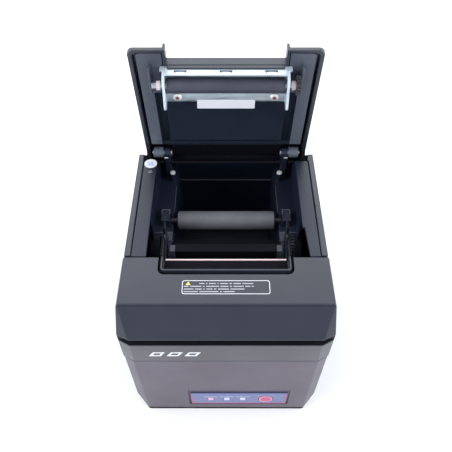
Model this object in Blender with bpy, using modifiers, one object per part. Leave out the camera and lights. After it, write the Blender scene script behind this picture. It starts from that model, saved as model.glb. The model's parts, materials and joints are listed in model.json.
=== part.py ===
"""Desktop thermal receipt printer for 80 mm paper rolls, modelled with its lid open.

The case is a two-part ABS box with a hood over the cutter. The lid hinges at the back and carries
the platen roller, which drops into the print mechanism when the lid is shut.
All sizes are in millimetres and are turned into metres where a mesh is made.
The origin is at the middle of the footprint, on the surface the feet stand on: X right, Y back, Z up.
"""
import math

import bmesh
import bpy
from mathutils import Matrix, Vector

MM = 0.001
GAP = 0.3

# Case
HALF_WIDTH = 71.5
FRONT = -95.0
BACK = 95.0
PARTING = 95.0
SHOULDER = 143.0
WALL = 2.5
FOOT_HEIGHT = 3.0
STRIP_WIDTH = 4.5
UPPER_HALF = 71.0
HOOD_HALF = 72.0
HOOD_REAR = -39.6
HOOD_TOP = 142.0
HOOD_LIP = 127.0
HOOD_CHAMFER = (8.0, 4.0)
EXIT_HALF = 43.6
EXIT_FRONT = -50.6
LEDGE_TOP = 142.2
LEDGE_INNER = 55.7
REAR_SLOPE_START = 62.6
REAR_SLOPE_END = 109.5

# Roll bay
BAY_HALF = 41.5
BUCKET_CENTRE = (40.0, 63.0)
BUCKET_RADIUS = 43.0
PLATFORM_TOP = 117.0
BAY_FRONT = -3.0
GUIDE_AXIS = (14.0, 117.0)
BAY_SCREW = (44.8, 59.0)
BAY_BOSS_TOP = 125.0

# Lid, in its own frame: closed, measured from the hinge axis, with Y back and Z up
HINGE = (0.0, 65.0, 143.0)
LID_OPENING = 82.0
LID_HALF = 65.0
LID_LENGTH = 103.4
LID_CROWN = 8.8
LID_RIM = 0.2
BARREL_SKIRT = 8.7
NOTCH_HALF = 40.0
NOTCH_REAR = -91.6
PLATEN_AXIS = (-80.4, -7.4)
PLATEN_RADIUS = 4.9
SHAFT_RADIUS = 2.5

SCREW_PLACE = (33.4, -72.1)

# Print mechanism
MECH_PLATE = (44.8, 46.4)
MECH_BASE = 94.5
MECH_TOP = 139.0
HEAD_FACE = -21.0
GEAR_X = (47.5, 50.5)
MODULE = 0.75
PLATEN_TEETH = 16
IDLER_TEETH = 24
PINION_TEETH = 12
MESH_SLACK = 0.25
PINION_ANGLE = 250.0
LATCH_AXIS = (-31.5, 124.0)

# Cutter, in a frame that is tilted so its rear end is the higher one
CUTTER_ORIGIN = (0.0, -38.0, 134.6)
CUTTER_TILT = 20.0
WHEEL_AXIS = (-31.0, -14.5)

# Control panel
PANEL_CENTRE = 10.4
PANEL_HALF = 39.9
PANEL_Z = (11.0, 41.0)
LABEL_HALF = 38.5
LABEL_Z = (11.7, 33.0)
KEY_Z = 21.4
KEY_X = 32.0
LED_X = (-12.3, 0.7, 13.4)

# Finishes: base colour, roughness, metallic
BLACK_ABS = ((0.020, 0.021, 0.026), 0.38, 0.0)
GREY_ABS = ((0.055, 0.056, 0.066), 0.35, 0.0)
INNER_ABS = ((0.012, 0.013, 0.017), 0.45, 0.0)
RUBBER = ((0.045, 0.045, 0.050), 0.75, 0.0)
ZINC = ((0.62, 0.63, 0.66), 0.32, 1.0)
STEEL = ((0.50, 0.50, 0.52), 0.28, 1.0)
WHITE_PLASTIC = ((0.80, 0.79, 0.78), 0.45, 0.0)
GEAR_PLASTIC = ((0.70, 0.69, 0.64), 0.5, 0.0)
BOARD = ((0.02, 0.16, 0.06), 0.45, 0.0)
LABEL_BLUE = ((0.055, 0.045, 0.22), 0.30, 0.0)
KEY_PINK = ((0.72, 0.06, 0.17), 0.40, 0.0)
CERAMIC = ((0.60, 0.52, 0.50), 0.30, 0.0)

for leftover in list(bpy.data.objects):
    bpy.data.objects.remove(leftover, do_unlink=True)

PARTS = bpy.data.collections.new("receipt_printer")
CUTTERS = bpy.data.collections.new("cutters")
for collection in (PARTS, CUTTERS):
    bpy.context.scene.collection.children.link(collection)


def axis_matrix(axis, across, middle):
    """Turn a shape built along Z so it runs along an axis, with its centre at the given place."""
    if axis == "X":
        turn = Matrix(((0, 0, 1, 0), (1, 0, 0, 0), (0, 1, 0, 0), (0, 0, 0, 1)))
        place = (middle, across[0], across[1])
    elif axis == "Y":
        turn = Matrix(((1, 0, 0, 0), (0, 0, -1, 0), (0, 1, 0, 0), (0, 0, 0, 1)))
        place = (across[0], middle, across[1])
    else:
        turn = Matrix.Identity(4)
        place = (across[0], across[1], middle)
    return Matrix.Translation(Vector(place) * MM) @ turn


def mesh_from(bm, name):
    mesh = bpy.data.meshes.new(name)
    bm.to_mesh(mesh)
    bm.free()
    return mesh


def block(x, y, z):
    """A rectangular block between two limits on each axis."""
    bm = bmesh.new()
    bmesh.ops.create_cube(bm, size=1.0)
    size = [(high - low) * MM for low, high in (x, y, z)]
    centre = Vector([(high + low) / 2 * MM for low, high in (x, y, z)])
    bm.transform(Matrix.Translation(centre) @ Matrix.Diagonal((*size, 1.0)))
    return mesh_from(bm, "block")


def rod(axis, across, radius, start, end, sides=28):
    """A cylinder along an axis; across holds its place on the two other axes."""
    bm = bmesh.new()
    bmesh.ops.create_cone(bm, cap_ends=True, segments=sides, radius1=radius * MM,
                          radius2=radius * MM, depth=(end - start) * MM)
    bm.transform(axis_matrix(axis, across, (start + end) / 2))
    return mesh_from(bm, "rod")


def plate(axis, outline, start, end):
    """A flat outline, given on the two other axes, made thick along an axis."""
    curve = bpy.data.curves.new("outline", "CURVE")
    curve.dimensions = "2D"
    curve.fill_mode = "BOTH"
    curve.extrude = (end - start) / 2 * MM
    spline = curve.splines.new("POLY")
    spline.points.add(len(outline) - 1)
    for point, (across, up) in zip(spline.points, outline):
        point.co = (across * MM, up * MM, 0.0, 1.0)
    spline.use_cyclic_u = True
    drawn = bpy.data.objects.new("outline", curve)
    PARTS.objects.link(drawn)
    evaluated = drawn.evaluated_get(bpy.context.evaluated_depsgraph_get())
    mesh = bpy.data.meshes.new_from_object(evaluated)
    bpy.data.objects.remove(drawn, do_unlink=True)
    bpy.data.curves.remove(curve)
    bm = bmesh.new()
    bm.from_mesh(mesh)
    bmesh.ops.remove_doubles(bm, verts=bm.verts, dist=0.001 * MM)
    bmesh.ops.recalc_face_normals(bm, faces=bm.faces)
    bm.transform(axis_matrix(axis, (0.0, 0.0), (start + end) / 2))
    bm.to_mesh(mesh)
    bm.free()
    return mesh


def arc(centre, radius, start, end, count):
    """Points along an arc between two angles in degrees."""
    points = []
    for step in range(count + 1):
        angle = math.radians(start + (end - start) * step / count)
        points.append((centre[0] + radius * math.cos(angle), centre[1] + radius * math.sin(angle)))
    return points


def finish_of(name, finish):
    colour, roughness, metallic = finish
    material = bpy.data.materials.new(name + "_finish")
    material.use_nodes = True
    shader = material.node_tree.nodes["Principled BSDF"]
    shader.inputs["Base Color"].default_value = (*colour, 1.0)
    shader.inputs["Roughness"].default_value = roughness
    shader.inputs["Metallic"].default_value = metallic
    return material


def piece(name, mesh, finish, parent=None, pivot=(0.0, 0.0, 0.0)):
    """One part of the printer. Its mesh is given in its parent's frame and hung on its pivot."""
    obj = bpy.data.objects.new(name, mesh)
    PARTS.objects.link(obj)
    mesh.name = name
    mesh.transform(Matrix.Translation(-Vector(pivot) * MM))
    obj.location = Vector(pivot) * MM
    obj.parent = parent
    mesh.materials.clear()
    mesh.materials.append(finish_of(name, finish))
    mesh.shade_smooth()
    mesh.set_sharp_from_angle(angle=math.radians(32))
    return obj


def tool(target, mesh):
    """A hidden shape for a Boolean modifier on the target."""
    shape = bpy.data.objects.new(target.name + "_tool", mesh)
    CUTTERS.objects.link(shape)
    shape.parent = target.parent
    shape.display_type = "WIRE"
    shape.hide_render = True
    return shape


def combine(target, operation, meshes):
    for mesh in meshes:
        modifier = target.modifiers.new(operation.lower(), "BOOLEAN")
        modifier.solver = "EXACT"
        modifier.operation = operation
        modifier.object = mesh if isinstance(mesh, bpy.types.Object) else tool(target, mesh)


def cut(target, *meshes):
    combine(target, "DIFFERENCE", meshes)


def join(target, *meshes):
    combine(target, "UNION", meshes)


def keep_inside(target, *meshes):
    combine(target, "INTERSECT", meshes)


def turned(name, axis, across, profile, finish, parent=None, steps=32):
    """A turned part: its profile is (radius, place along the axis), from the high end down."""
    mesh = bpy.data.meshes.new(name)
    points = [(radius * MM, 0.0, along * MM) for radius, along in profile]
    edges = [(i, i + 1) for i in range(len(points) - 1)]
    if profile[0][0] > 0.0:
        edges.append((len(points) - 1, 0))
    mesh.from_pydata(points, edges, [])
    obj = bpy.data.objects.new(name, mesh)
    PARTS.objects.link(obj)
    obj.matrix_basis = axis_matrix(axis, across, 0.0)
    obj.parent = parent
    screw = obj.modifiers.new("turn", "SCREW")
    screw.steps = steps
    screw.render_steps = steps
    screw.use_merge_vertices = True
    screw.merge_threshold = 0.00001
    mesh.materials.append(finish_of(name, finish))
    return obj


def pivot_frame(name, place, tilt):
    """An empty on a joint's axis, turned about X, that carries the parts of a moving group."""
    frame = bpy.data.objects.new(name, None)
    PARTS.objects.link(frame)
    frame.location = Vector(place) * MM
    frame.rotation_euler = (math.radians(tilt), 0.0, 0.0)
    return frame


def case_plan(half, front, back, chamfer):
    """Plan outline of the case: a rectangle with its two front corners cut off."""
    across, along = chamfer
    right = [(half, back), (half, front + along), (half - across, front)]
    return right + [(-x, y) for x, y in reversed(right)]


# ------------------------------------------------------------------------------------- case

PORTS = {
    "dc_inlet": (-38.0, 12.0, 10.0),
    "usb_port": (-14.0, 12.0, 11.0),
    "lan_port": (12.0, 16.0, 13.5),
    "drawer_port": (38.0, 14.0, 12.0),
}
PORT_FLOOR = 10.0
BOARD_Z = (8.0, 9.6)
RECESS_WALL = (81.5, 84.2)
SWITCH_PLACE = (-55.0, 58.0)


def make_lower_case():
    case = piece("lower_case", plate("Z", case_plan(HALF_WIDTH, FRONT, BACK, (7.0, 4.0)),
                                     FOOT_HEIGHT, PARTING - GAP), BLACK_ABS)
    for side in (-1, 1):
        cut(case, plate("Y", [(side * 63.87, 2.0), (side * 73.0, 2.0), (side * 73.0, 29.5)],
                        FRONT - 5, BACK + 5))
    floor = FOOT_HEIGHT + WALL
    section = [(-69.0, 99.0), (-69.0, 26.0), (-61.9, floor), (61.9, floor), (69.0, 26.0), (69.0, 99.0)]
    cavity = tool(case, plate("Y", section, FRONT, BACK - WALL))
    keep_inside(cavity, plate("Z", case_plan(70.0, FRONT + WALL, BACK, (6.5, 3.7)), 0.0, 105.0))
    cut(case, cavity)
    cut(case, block((-54.8, 54.8), (RECESS_WALL[0] - GAP, 99.0), (1.0, 42.8)))
    cut(case, block((PANEL_CENTRE - PANEL_HALF, PANEL_CENTRE + PANEL_HALF), (FRONT - 5, FRONT + 1.6),
                    PANEL_Z))
    cut(case, rod("Y", (KEY_X, KEY_Z), 6.1, FRONT - 5, FRONT + 6))
    for led in LED_X:
        cut(case, block((led - 2.6, led + 2.6), (FRONT - 5, FRONT + 6), (KEY_Z - 2.6, KEY_Z + 2.6)))
    switch_y, switch_z = SWITCH_PLACE
    cut(case, block((-75.0, -65.0), (switch_y - 10.0, switch_y + 10.0),
                    (switch_z - 7.0, switch_z + 7.0)))
    for side in (-1, 1):
        stand = sorted((side * 38.0, side * 42.0))
        join(case, block(stand, (-33.0, -8.0), (4.0, MECH_BASE - GAP)))
        rail = sorted((side * 48.0, side * 51.0))
        join(case, block(rail, (4.0, 76.0), (4.0, BOARD_Z[0] - GAP)))


def make_connector_recess():
    """Moulded insert in the back of the case: a pocket, open below, for the plugs and their cables."""
    outer = block((-54.5, 54.5), (RECESS_WALL[0], BACK - GAP), (FOOT_HEIGHT + GAP, 42.5))
    recess = piece("connector_recess", outer, BLACK_ABS)
    cut(recess, block((-52.0, 52.0), (RECESS_WALL[1], 99.0), (1.0, 40.0)))
    for centre, width, height in PORTS.values():
        cut(recess, block((centre - width / 2 - 0.5, centre + width / 2 + 0.5), (78.0, 90.0),
                          (PORT_FLOOR - 0.5, PORT_FLOOR + height + 0.5)))


def rear_height(y):
    """Height of the sloping back at a place behind the shoulder."""
    fall = (SHOULDER - REAR_SLOPE_END) / (BACK - REAR_SLOPE_START)
    return SHOULDER - (y - REAR_SLOPE_START) * fall


def make_upper_case():
    bottom = PARTING
    outline = [(HOOD_REAR + 0.4, bottom), (HOOD_REAR + 0.4, SHOULDER), (REAR_SLOPE_START, SHOULDER),
               (BACK, REAR_SLOPE_END), (BACK, bottom)]
    case = piece("upper_case", plate("X", outline, -UPPER_HALF, UPPER_HALF), BLACK_ABS)
    behind = BACK - WALL
    inner = [(-50.0, 90.0), (-50.0, 150.0), (56.0, 150.0), (56.0, rear_height(56.0) - 3.6),
             (behind, rear_height(behind) - 3.6), (behind, 90.0)]
    inner_half = UPPER_HALF - STRIP_WIDTH
    cut(case, plate("X", inner, -inner_half, inner_half))
    cut(case, block((-68.5, 68.5), (-50.0, 60.0), (90.0, 138.0)))
    cut(case, rod("X", HINGE[1:], BARREL_SKIRT + 0.7, -inner_half - 0.2, inner_half + 0.2, 48))
    cut(case, block((60.0, 80.0), (-33.0, -17.0), (113.0, 127.0)))
    return case


def make_feet():
    for name_y, y in (("front", -76.0), ("rear", 74.0)):
        for name_x, x in (("left", -48.0), ("right", 48.0)):
            turned("foot_" + name_y + "_" + name_x, "Z", (x, y),
                   [(0.0, FOOT_HEIGHT - GAP), (7.5, FOOT_HEIGHT - GAP), (7.0, 0.5), (6.5, 0.0), (0.0, 0.0)],
                   RUBBER, steps=24)


def exit_plan(margin, rear):
    """Plan outline of the paper exit, with round front corners, grown by a margin and cut off at the rear."""
    half, front, radius = EXIT_HALF + margin, EXIT_FRONT - margin, 1.2 + margin
    right = arc((half - radius, front + radius), radius, 0.0, -90.0, 4)
    return [(half, rear)] + right + [(-x, y) for x, y in reversed(right)] + [(-half, rear)]


def corner_facet(side):
    """Cutting shape for the flat that runs from the top of the hood down to its cut-off front corner."""
    across, along = HOOD_CHAMFER
    corners = [Vector((HOOD_HALF, -77.0, HOOD_TOP)), Vector((HOOD_HALF - across, FRONT, HOOD_LIP)),
               Vector((HOOD_HALF, FRONT + along, HOOD_LIP))]
    middle = sum(corners, Vector()) / 3
    outward = (corners[1] - corners[0]).cross(corners[2] - corners[0]).normalized()
    points = [middle + (corner - middle) * 3.0 for corner in corners] + [middle + outward * 15.0]
    bm = bmesh.new()
    made = [bm.verts.new((side * point.x * MM, point.y * MM, point.z * MM)) for point in points]
    for a, b, c in ((0, 1, 2), (0, 3, 1), (1, 3, 2), (2, 3, 0)):
        bm.faces.new((made[a], made[b], made[c]))
    bmesh.ops.recalc_face_normals(bm, faces=bm.faces)
    return mesh_from(bm, "facet")


def make_front_cover():
    """Hood over the cutter: a sloped front, a shadow groove and a fascia strip under it."""
    rear = HOOD_REAR
    outline = [(rear, PARTING), (rear, HOOD_TOP), (-76.6, HOOD_TOP), (-78.2, HOOD_TOP - 0.7),
               (FRONT, HOOD_LIP), (FRONT, HOOD_LIP - 0.7), (FRONT + 4.0, 125.6), (FRONT + 4.0, 119.6),
               (FRONT, 118.4), (FRONT, PARTING)]
    hood = piece("front_cover", plate("X", outline, -HOOD_HALF, HOOD_HALF), BLACK_ABS)
    keep_inside(hood, plate("Z", case_plan(HOOD_HALF, FRONT, -30.0, HOOD_CHAMFER), 90.0, 150.0))
    inner = [(-30.0, 90.0), (-30.0, HOOD_TOP - 6.0), (-57.0, HOOD_TOP - 6.0), (-61.0, HOOD_TOP - 2.8),
             (-74.0, HOOD_TOP - 3.1), (FRONT + 6.2, 128.0), (FRONT + 6.2, 90.0)]
    cavity = tool(hood, plate("X", inner, -69.4, 69.4))
    keep_inside(cavity, plate("Z", case_plan(69.4, FRONT + 2.8, -20.0, (7.4, 3.7)), 80.0, 150.0))
    cut(hood, cavity)
    for side in (-1, 1):
        cut(hood, corner_facet(side))
        cut(hood, plate("Y", [(side * 70.7, 142.5), (side * 73.0, 142.5), (side * 73.0, 139.5),
                              (side * 72.2, 140.3)], -120.0, -20.0))
    cut(hood, plate("Z", exit_plan(3.0, rear + 5.0), HOOD_TOP - 3.0, 150.0))
    join(hood, plate("Z", exit_plan(1.2, rear), HOOD_TOP - 5.0, HOOD_TOP + 1.6))
    cut(hood, plate("Z", exit_plan(0.0, rear + 5.0), 130.0, 150.0))


def make_bay_frame():
    """Inner frame: the ledges beside the lid, the roller platforms and the round roll bucket."""
    y_mid, z_mid = BUCKET_CENTRE
    skin = 1.7
    outer = [(BAY_FRONT - skin, PLATFORM_TOP)]
    outer += arc(BUCKET_CENTRE, BUCKET_RADIUS + skin, 180.0, 360.0, 20)
    outer += [(y_mid + BUCKET_RADIUS + skin + 2.0, 90.0), (73.0, 125.5), (72.0, PLATFORM_TOP)]
    frame = piece("bay_frame", plate("X", outer, -BAY_HALF - skin, BAY_HALF + skin), INNER_ABS)
    upper = [(BAY_FRONT - 2.0, PLATFORM_TOP - 1.7), (BAY_FRONT - 2.0, LEDGE_TOP), (57.0, LEDGE_TOP),
             (70.5, 129.0), (74.0, PLATFORM_TOP - 1.7)]
    ledge_outer = UPPER_HALF - STRIP_WIDTH - GAP
    join(frame, plate("X", upper, -LEDGE_INNER - 1.5, LEDGE_INNER + 1.5))
    join(frame, block((-ledge_outer, ledge_outer), (HOOD_REAR + 0.5, 55.8), (139.8, LEDGE_TOP)))
    well = [(BAY_FRONT, 150.0)]
    well += arc(BUCKET_CENTRE, BUCKET_RADIUS, 180.0, 360.0, 20)
    well += [(y_mid + BUCKET_RADIUS + 2.0, 90.0), (71.0, 125.0), (60.0, 150.0)]
    cut(frame, plate("X", well, -BAY_HALF, BAY_HALF))
    hall = [(BAY_FRONT, PLATFORM_TOP), (BAY_FRONT, 150.0), (57.0, 150.0), (69.0, 127.5),
            (72.0, PLATFORM_TOP)]
    cut(frame, plate("X", hall, -LEDGE_INNER, LEDGE_INNER))
    cut(frame, block((-LEDGE_INNER, LEDGE_INNER), (-50.0, BAY_FRONT + 1.0), (112.0, 150.0)))
    release_slot = [(54.0, -50.0), (59.3, -50.0), (57.2, -13.0), (54.0, -13.0)]
    cut(frame, plate("Z", release_slot, 130.0, 150.0))
    ramp = [(-1.0, 116.8), (-2.4, 116.8), (-22.0, 101.0), (-22.0, 99.3), (-1.0, 115.4)]
    for side in (-1, 1):
        join(frame, plate("X", ramp, *sorted((side * 51.2, side * 58.9))))
    cut(frame, rod("X", HINGE[1:], BARREL_SKIRT + 0.7, -80.0, 80.0, 48))
    for side in (-1, 1):
        post = sorted((side * 45.3, side * 50.3))
        join(frame, block(post, (61.4, 67.0), (PLATFORM_TOP - 1.0, HINGE[2])),
             rod("X", HINGE[1:], 3.8, *post, 20))
        cut(frame, rod("X", HINGE[1:], 1.9, post[0] - 1, post[1] + 1, 16))
        boss = (side * BAY_SCREW[0], BAY_SCREW[1])
        join(frame, rod("Z", boss, 2.6, PLATFORM_TOP - 1.0, BAY_BOSS_TOP, 20))
        cut(frame, rod("Z", boss, 1.1, BAY_BOSS_TOP - 5.0, BAY_BOSS_TOP + 1.0, 12))
        slot = sorted((side * 40.0, side * 47.2))
        cut(frame, block(slot, (GUIDE_AXIS[0] - 2.7, GUIDE_AXIS[0] + 2.7), (113.9, 122.0)))


def make_bay_screws():
    for name, side in (("left", -1), ("right", 1)):
        turned("bay_screw_" + name, "Z", (side * BAY_SCREW[0], BAY_SCREW[1]),
               [(0.0, 126.9), (1.3, 126.8), (2.2, 126.3), (2.4, BAY_BOSS_TOP + GAP),
                (0.8, BAY_BOSS_TOP + GAP), (0.8, 121.0), (0.0, 121.0)], ZINC, steps=18)


def make_guide_roller():
    half = 38.0
    turned("guide_roller", "X", GUIDE_AXIS,
           [(6.6, half), (7.5, half - 1.0), (7.5, 1.0 - half), (6.6, -half), (2.6, -half), (2.6, half)],
           RUBBER)
    turned("guide_shaft", "X", GUIDE_AXIS,
           [(0.0, 46.7), (1.8, 46.7), (2.2, 46.2), (2.2, -46.2), (1.8, -46.7), (0.0, -46.7)],
           STEEL, steps=20)
    for name, side in (("left", -1), ("right", 1)):
        span = sorted((side * 43.8, side * 51.0))
        holder = piece("roller_holder_" + name, block(span, (8.0, 20.0), (PLATFORM_TOP + GAP, 124.0)),
                       INNER_ABS)
        slot = sorted((side * 43.0, side * 47.4))
        cut(holder, rod("X", GUIDE_AXIS, 2.6, *slot, 20), block(slot, (11.4, 16.6), (112.0, 117.5)))


# ------------------------------------------------------------------------------------- panel


def make_control_panel():
    span = (PANEL_CENTRE - LABEL_HALF, PANEL_CENTRE + LABEL_HALF)
    label = piece("control_label", block(span, (-94.5, -93.7), LABEL_Z), LABEL_BLUE)
    cut(label, rod("Y", (KEY_X, KEY_Z), 6.1, -97.0, -90.0, 32))
    for led in LED_X:
        cut(label, block((led - 2.6, led + 2.6), (-97.0, -90.0), (KEY_Z - 2.6, KEY_Z + 2.6)))
    for name, led in zip(("power", "paper", "error"), LED_X):
        lens = piece("led_" + name, block((led - 2.3, led + 2.3), (-94.7, -88.0),
                                          (KEY_Z - 2.3, KEY_Z + 2.3)), WHITE_PLASTIC)
        rounding = lens.modifiers.new("edges", "BEVEL")
        rounding.width = 0.3 * MM
        rounding.segments = 1
    turned("feed_button", "Y", (KEY_X, KEY_Z),
           [(0.0, 95.0), (3.5, 94.9), (5.2, 94.6), (5.75, 94.1), (5.75, 91.2), (3.0, 91.2), (3.0, 87.5),
            (0.0, 87.5)], KEY_PINK)
    piece("panel_board", block((span[0] + 2.0, span[1] - 2.0), (-85.6, -84.0), (12.0, 36.0)), BOARD)


# --------------------------------------------------------------------------------- interfaces


def make_ports():
    panel = piece("port_panel", block((-51.5, 51.5), (84.5, 85.5), (7.0, 39.5)), ZINC)
    piece("mainboard", block((-56.0, 56.0), (2.0, 79.0), BOARD_Z), BOARD)
    for name, (centre, width, height) in PORTS.items():
        low = PORT_FLOOR
        cut(panel, block((centre - width / 2 - 0.4, centre + width / 2 + 0.4), (80.0, 90.0),
                         (low - 0.4, low + height + 0.4)))
        finish = BLACK_ABS if name in ("dc_inlet", "drawer_port") else ZINC
        port = piece(name, block((centre - width / 2, centre + width / 2), (66.5, 86.0),
                                 (low, low + height)), finish)
        if name == "dc_inlet":
            cut(port, rod("Y", (centre, low + height / 2), 4.2, 74.0, 90.0, 24))
            join(port, rod("Y", (centre, low + height / 2), 1.0, 73.0, 84.5, 12))
        else:
            cut(port, block((centre - width / 2 + 1.3, centre + width / 2 - 1.3), (73.0, 90.0),
                            (low + 1.3, low + height - 1.3)))
        if name == "usb_port":
            join(port, block((centre - 2.8, centre + 2.8), (72.0, 84.0), (low + 4.0, low + 7.0)))


def make_power_switch():
    """Rocker switch in the left side; the rocker tips about an upright axis."""
    y, z = SWITCH_PLACE
    bezel = piece("switch_bezel", block((-72.0, -60.0), (y - 9.6, y + 9.6), (z - 6.6, z + 6.6)), INNER_ABS)
    cut(bezel, block((-75.0, -62.0), (y - 8.0, y + 8.0), (z - 5.0, z + 5.0)))
    rocker_outline = [(-6.8, -3.6), (-6.8, 3.4), (0.0, 2.4), (6.8, 3.4), (6.8, -3.6)]
    mesh = plate("X", rocker_outline, -4.6, 4.6)
    rocker = piece("power_switch", mesh, BLACK_ABS)
    # The outline is drawn as (Y, Z) along X and is laid over so that its dished face looks left.
    rocker.matrix_basis = (Matrix.Translation(Vector((-67.6, y, z)) * MM)
                           @ Matrix.Rotation(math.radians(6.0), 4, "Z")
                           @ Matrix.Rotation(math.radians(-90.0), 4, "Y"))


# ----------------------------------------------------------------------------------- mechanism


def gear_outline(centre, teeth, phase):
    """Outline of a spur gear with slim trapezoid teeth; phase is the angle of one tooth in degrees."""
    pitch = MODULE * teeth / 2
    tip, root = pitch + 0.8 * MODULE, pitch - 1.1 * MODULE
    points = []
    for tooth in range(teeth):
        middle = phase + 360.0 * tooth / teeth
        step = 360.0 / teeth
        for offset, radius in ((-0.27, root), (-0.09, tip), (0.09, tip), (0.27, root)):
            angle = math.radians(middle + offset * step)
            points.append((centre[0] + radius * math.cos(angle), centre[1] + radius * math.sin(angle)))
    return points


PLATEN_CLOSED = (HINGE[1] + PLATEN_AXIS[0], HINGE[2] + PLATEN_AXIS[1])
IDLER_DISTANCE = MODULE * (PLATEN_TEETH + IDLER_TEETH) / 2 + MESH_SLACK
PINION_DISTANCE = MODULE * (IDLER_TEETH + PINION_TEETH) / 2 + MESH_SLACK
IDLER_AXIS = (PLATEN_CLOSED[0], PLATEN_CLOSED[1] - IDLER_DISTANCE)
PINION_AXIS = (IDLER_AXIS[0] + PINION_DISTANCE * math.cos(math.radians(PINION_ANGLE)),
               IDLER_AXIS[1] + PINION_DISTANCE * math.sin(math.radians(PINION_ANGLE)))


def make_gears(lid):
    # The platen gear has a tooth pointing down, so the idler has a gap pointing up.
    idler_phase = 90.0 + 180.0 / IDLER_TEETH
    # Where the idler faces the pinion, count how far that direction is from an idler tooth.
    turn = (PINION_ANGLE - idler_phase) * IDLER_TEETH / 360.0
    fraction = turn - math.floor(turn)
    pinion_phase = PINION_ANGLE + 180.0 + (fraction + 0.5) * 360.0 / PINION_TEETH
    platen = piece("platen_gear", plate("X", gear_outline(PLATEN_AXIS, PLATEN_TEETH, -90.0), *GEAR_X),
                   GEAR_PLASTIC, lid, (0.0, *PLATEN_AXIS))
    cut(platen, rod("X", PLATEN_AXIS, SHAFT_RADIUS + GAP, 45.0, 53.0, 24))
    idler = piece("idler_gear", plate("X", gear_outline(IDLER_AXIS, IDLER_TEETH, idler_phase), *GEAR_X),
                  GEAR_PLASTIC, None, (0.0, *IDLER_AXIS))
    cut(idler, rod("X", IDLER_AXIS, 1.9, 45.0, 53.0, 20))
    pinion = piece("motor_pinion",
                   plate("X", gear_outline(PINION_AXIS, PINION_TEETH, pinion_phase), *GEAR_X),
                   STEEL, None, (0.0, *PINION_AXIS))
    cut(pinion, rod("X", PINION_AXIS, 1.3, 45.0, 53.0, 16))


def make_mechanism():
    inner, outer = MECH_PLATE
    frame = piece("mechanism_frame", block((-outer, outer), (-36.0, -5.0), (MECH_BASE, MECH_TOP)), STEEL)
    cut(frame, block((-inner, inner), (-34.6, 0.0), (MECH_BASE + 1.8, 150.0)))
    cut(frame, block((-inner, inner), (-40.0, -30.0), (112.0, 150.0)))
    slot = PLATEN_CLOSED
    cut(frame, rod("X", slot, 3.5, -60.0, 60.0, 24),
        block((-60.0, 60.0), (slot[0] - 3.5, slot[0] + 3.5), (slot[1], 150.0)))
    cut(frame, rod("X", LATCH_AXIS, 2.4, -60.0, 60.0, 20))
    flange = [(-5.4, 116.6), (-22.0, 103.0), (-22.0, 101.6), (-5.4, 115.2)]
    for side in (-1, 1):
        join(frame, plate("X", flange, *sorted((side * 39.5, side * (inner + 0.5)))))
    cut(frame, rod("X", PINION_AXIS, 3.5, 39.0, 60.0, 20))
    join(frame, rod("X", IDLER_AXIS, 1.5, inner + 0.5, 50.9, 16))
    motor = piece("feed_motor", rod("X", PINION_AXIS, 9.8, 10.0, 38.6, 32), STEEL)
    join(motor, rod("X", PINION_AXIS, 3.1, 38.0, 46.6, 20), rod("X", PINION_AXIS, 1.0, 45.0, 50.9, 12))
    head = piece("print_head", block((-40.8, 40.8), (-28.0, -25.0), (118.0, 133.0)), STEEL)
    join(head, block((-40.2, 40.2), (-25.5, HEAD_FACE), (121.0, 132.6)))
    guide = [(-5.4, 118.0), (-12.0, 123.4), (-20.0, 126.8), (-20.6, 125.6), (-12.7, 122.2), (-6.4, 117.0)]
    piece("paper_guide", plate("X", guide, -40.5, 40.5), INNER_ABS)
    piece("paper_sensor", block((-5.0, 5.0), (-13.5, -8.5), (113.0, 117.0)), BLACK_ABS)
    piece("near_end_sensor", block((-48.5, -43.6), (24.0, 36.0), (42.0, 54.0)), BLACK_ABS)


def make_latch():
    """Two hooks on one shaft in front of the platen, freed by the button in the right side."""
    hook = [(-34.5, 121.0), (-29.0, 121.0), (-20.6, 132.0), (-19.8, 138.6), (-19.1, 139.4), (-19.1, 141.2),
            (-21.7, 141.2), (-23.0, 133.2), (-31.0, 127.4), (-34.5, 127.0)]
    latch = piece("latch_hooks", rod("X", LATCH_AXIS, 2.0, -49.5, 57.5, 20), STEEL, None,
                  (0.0, *LATCH_AXIS))
    for side in (-1, 1):
        join(latch, plate("X", hook, *sorted((side * 43.4, side * 44.35))))
    arm = [(-34.0, 113.0), (-29.0, 113.0), (-29.0, 126.5), (-34.0, 126.5)]
    join(latch, plate("X", arm, 55.0, 57.0))
    button = piece("release_button", block((65.5, 70.9), (-32.5, -17.5), (113.5, 126.5)), GREY_ABS)
    join(button, block((60.0, 66.5), (-31.0, -27.0), (114.5, 118.5)))


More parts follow.
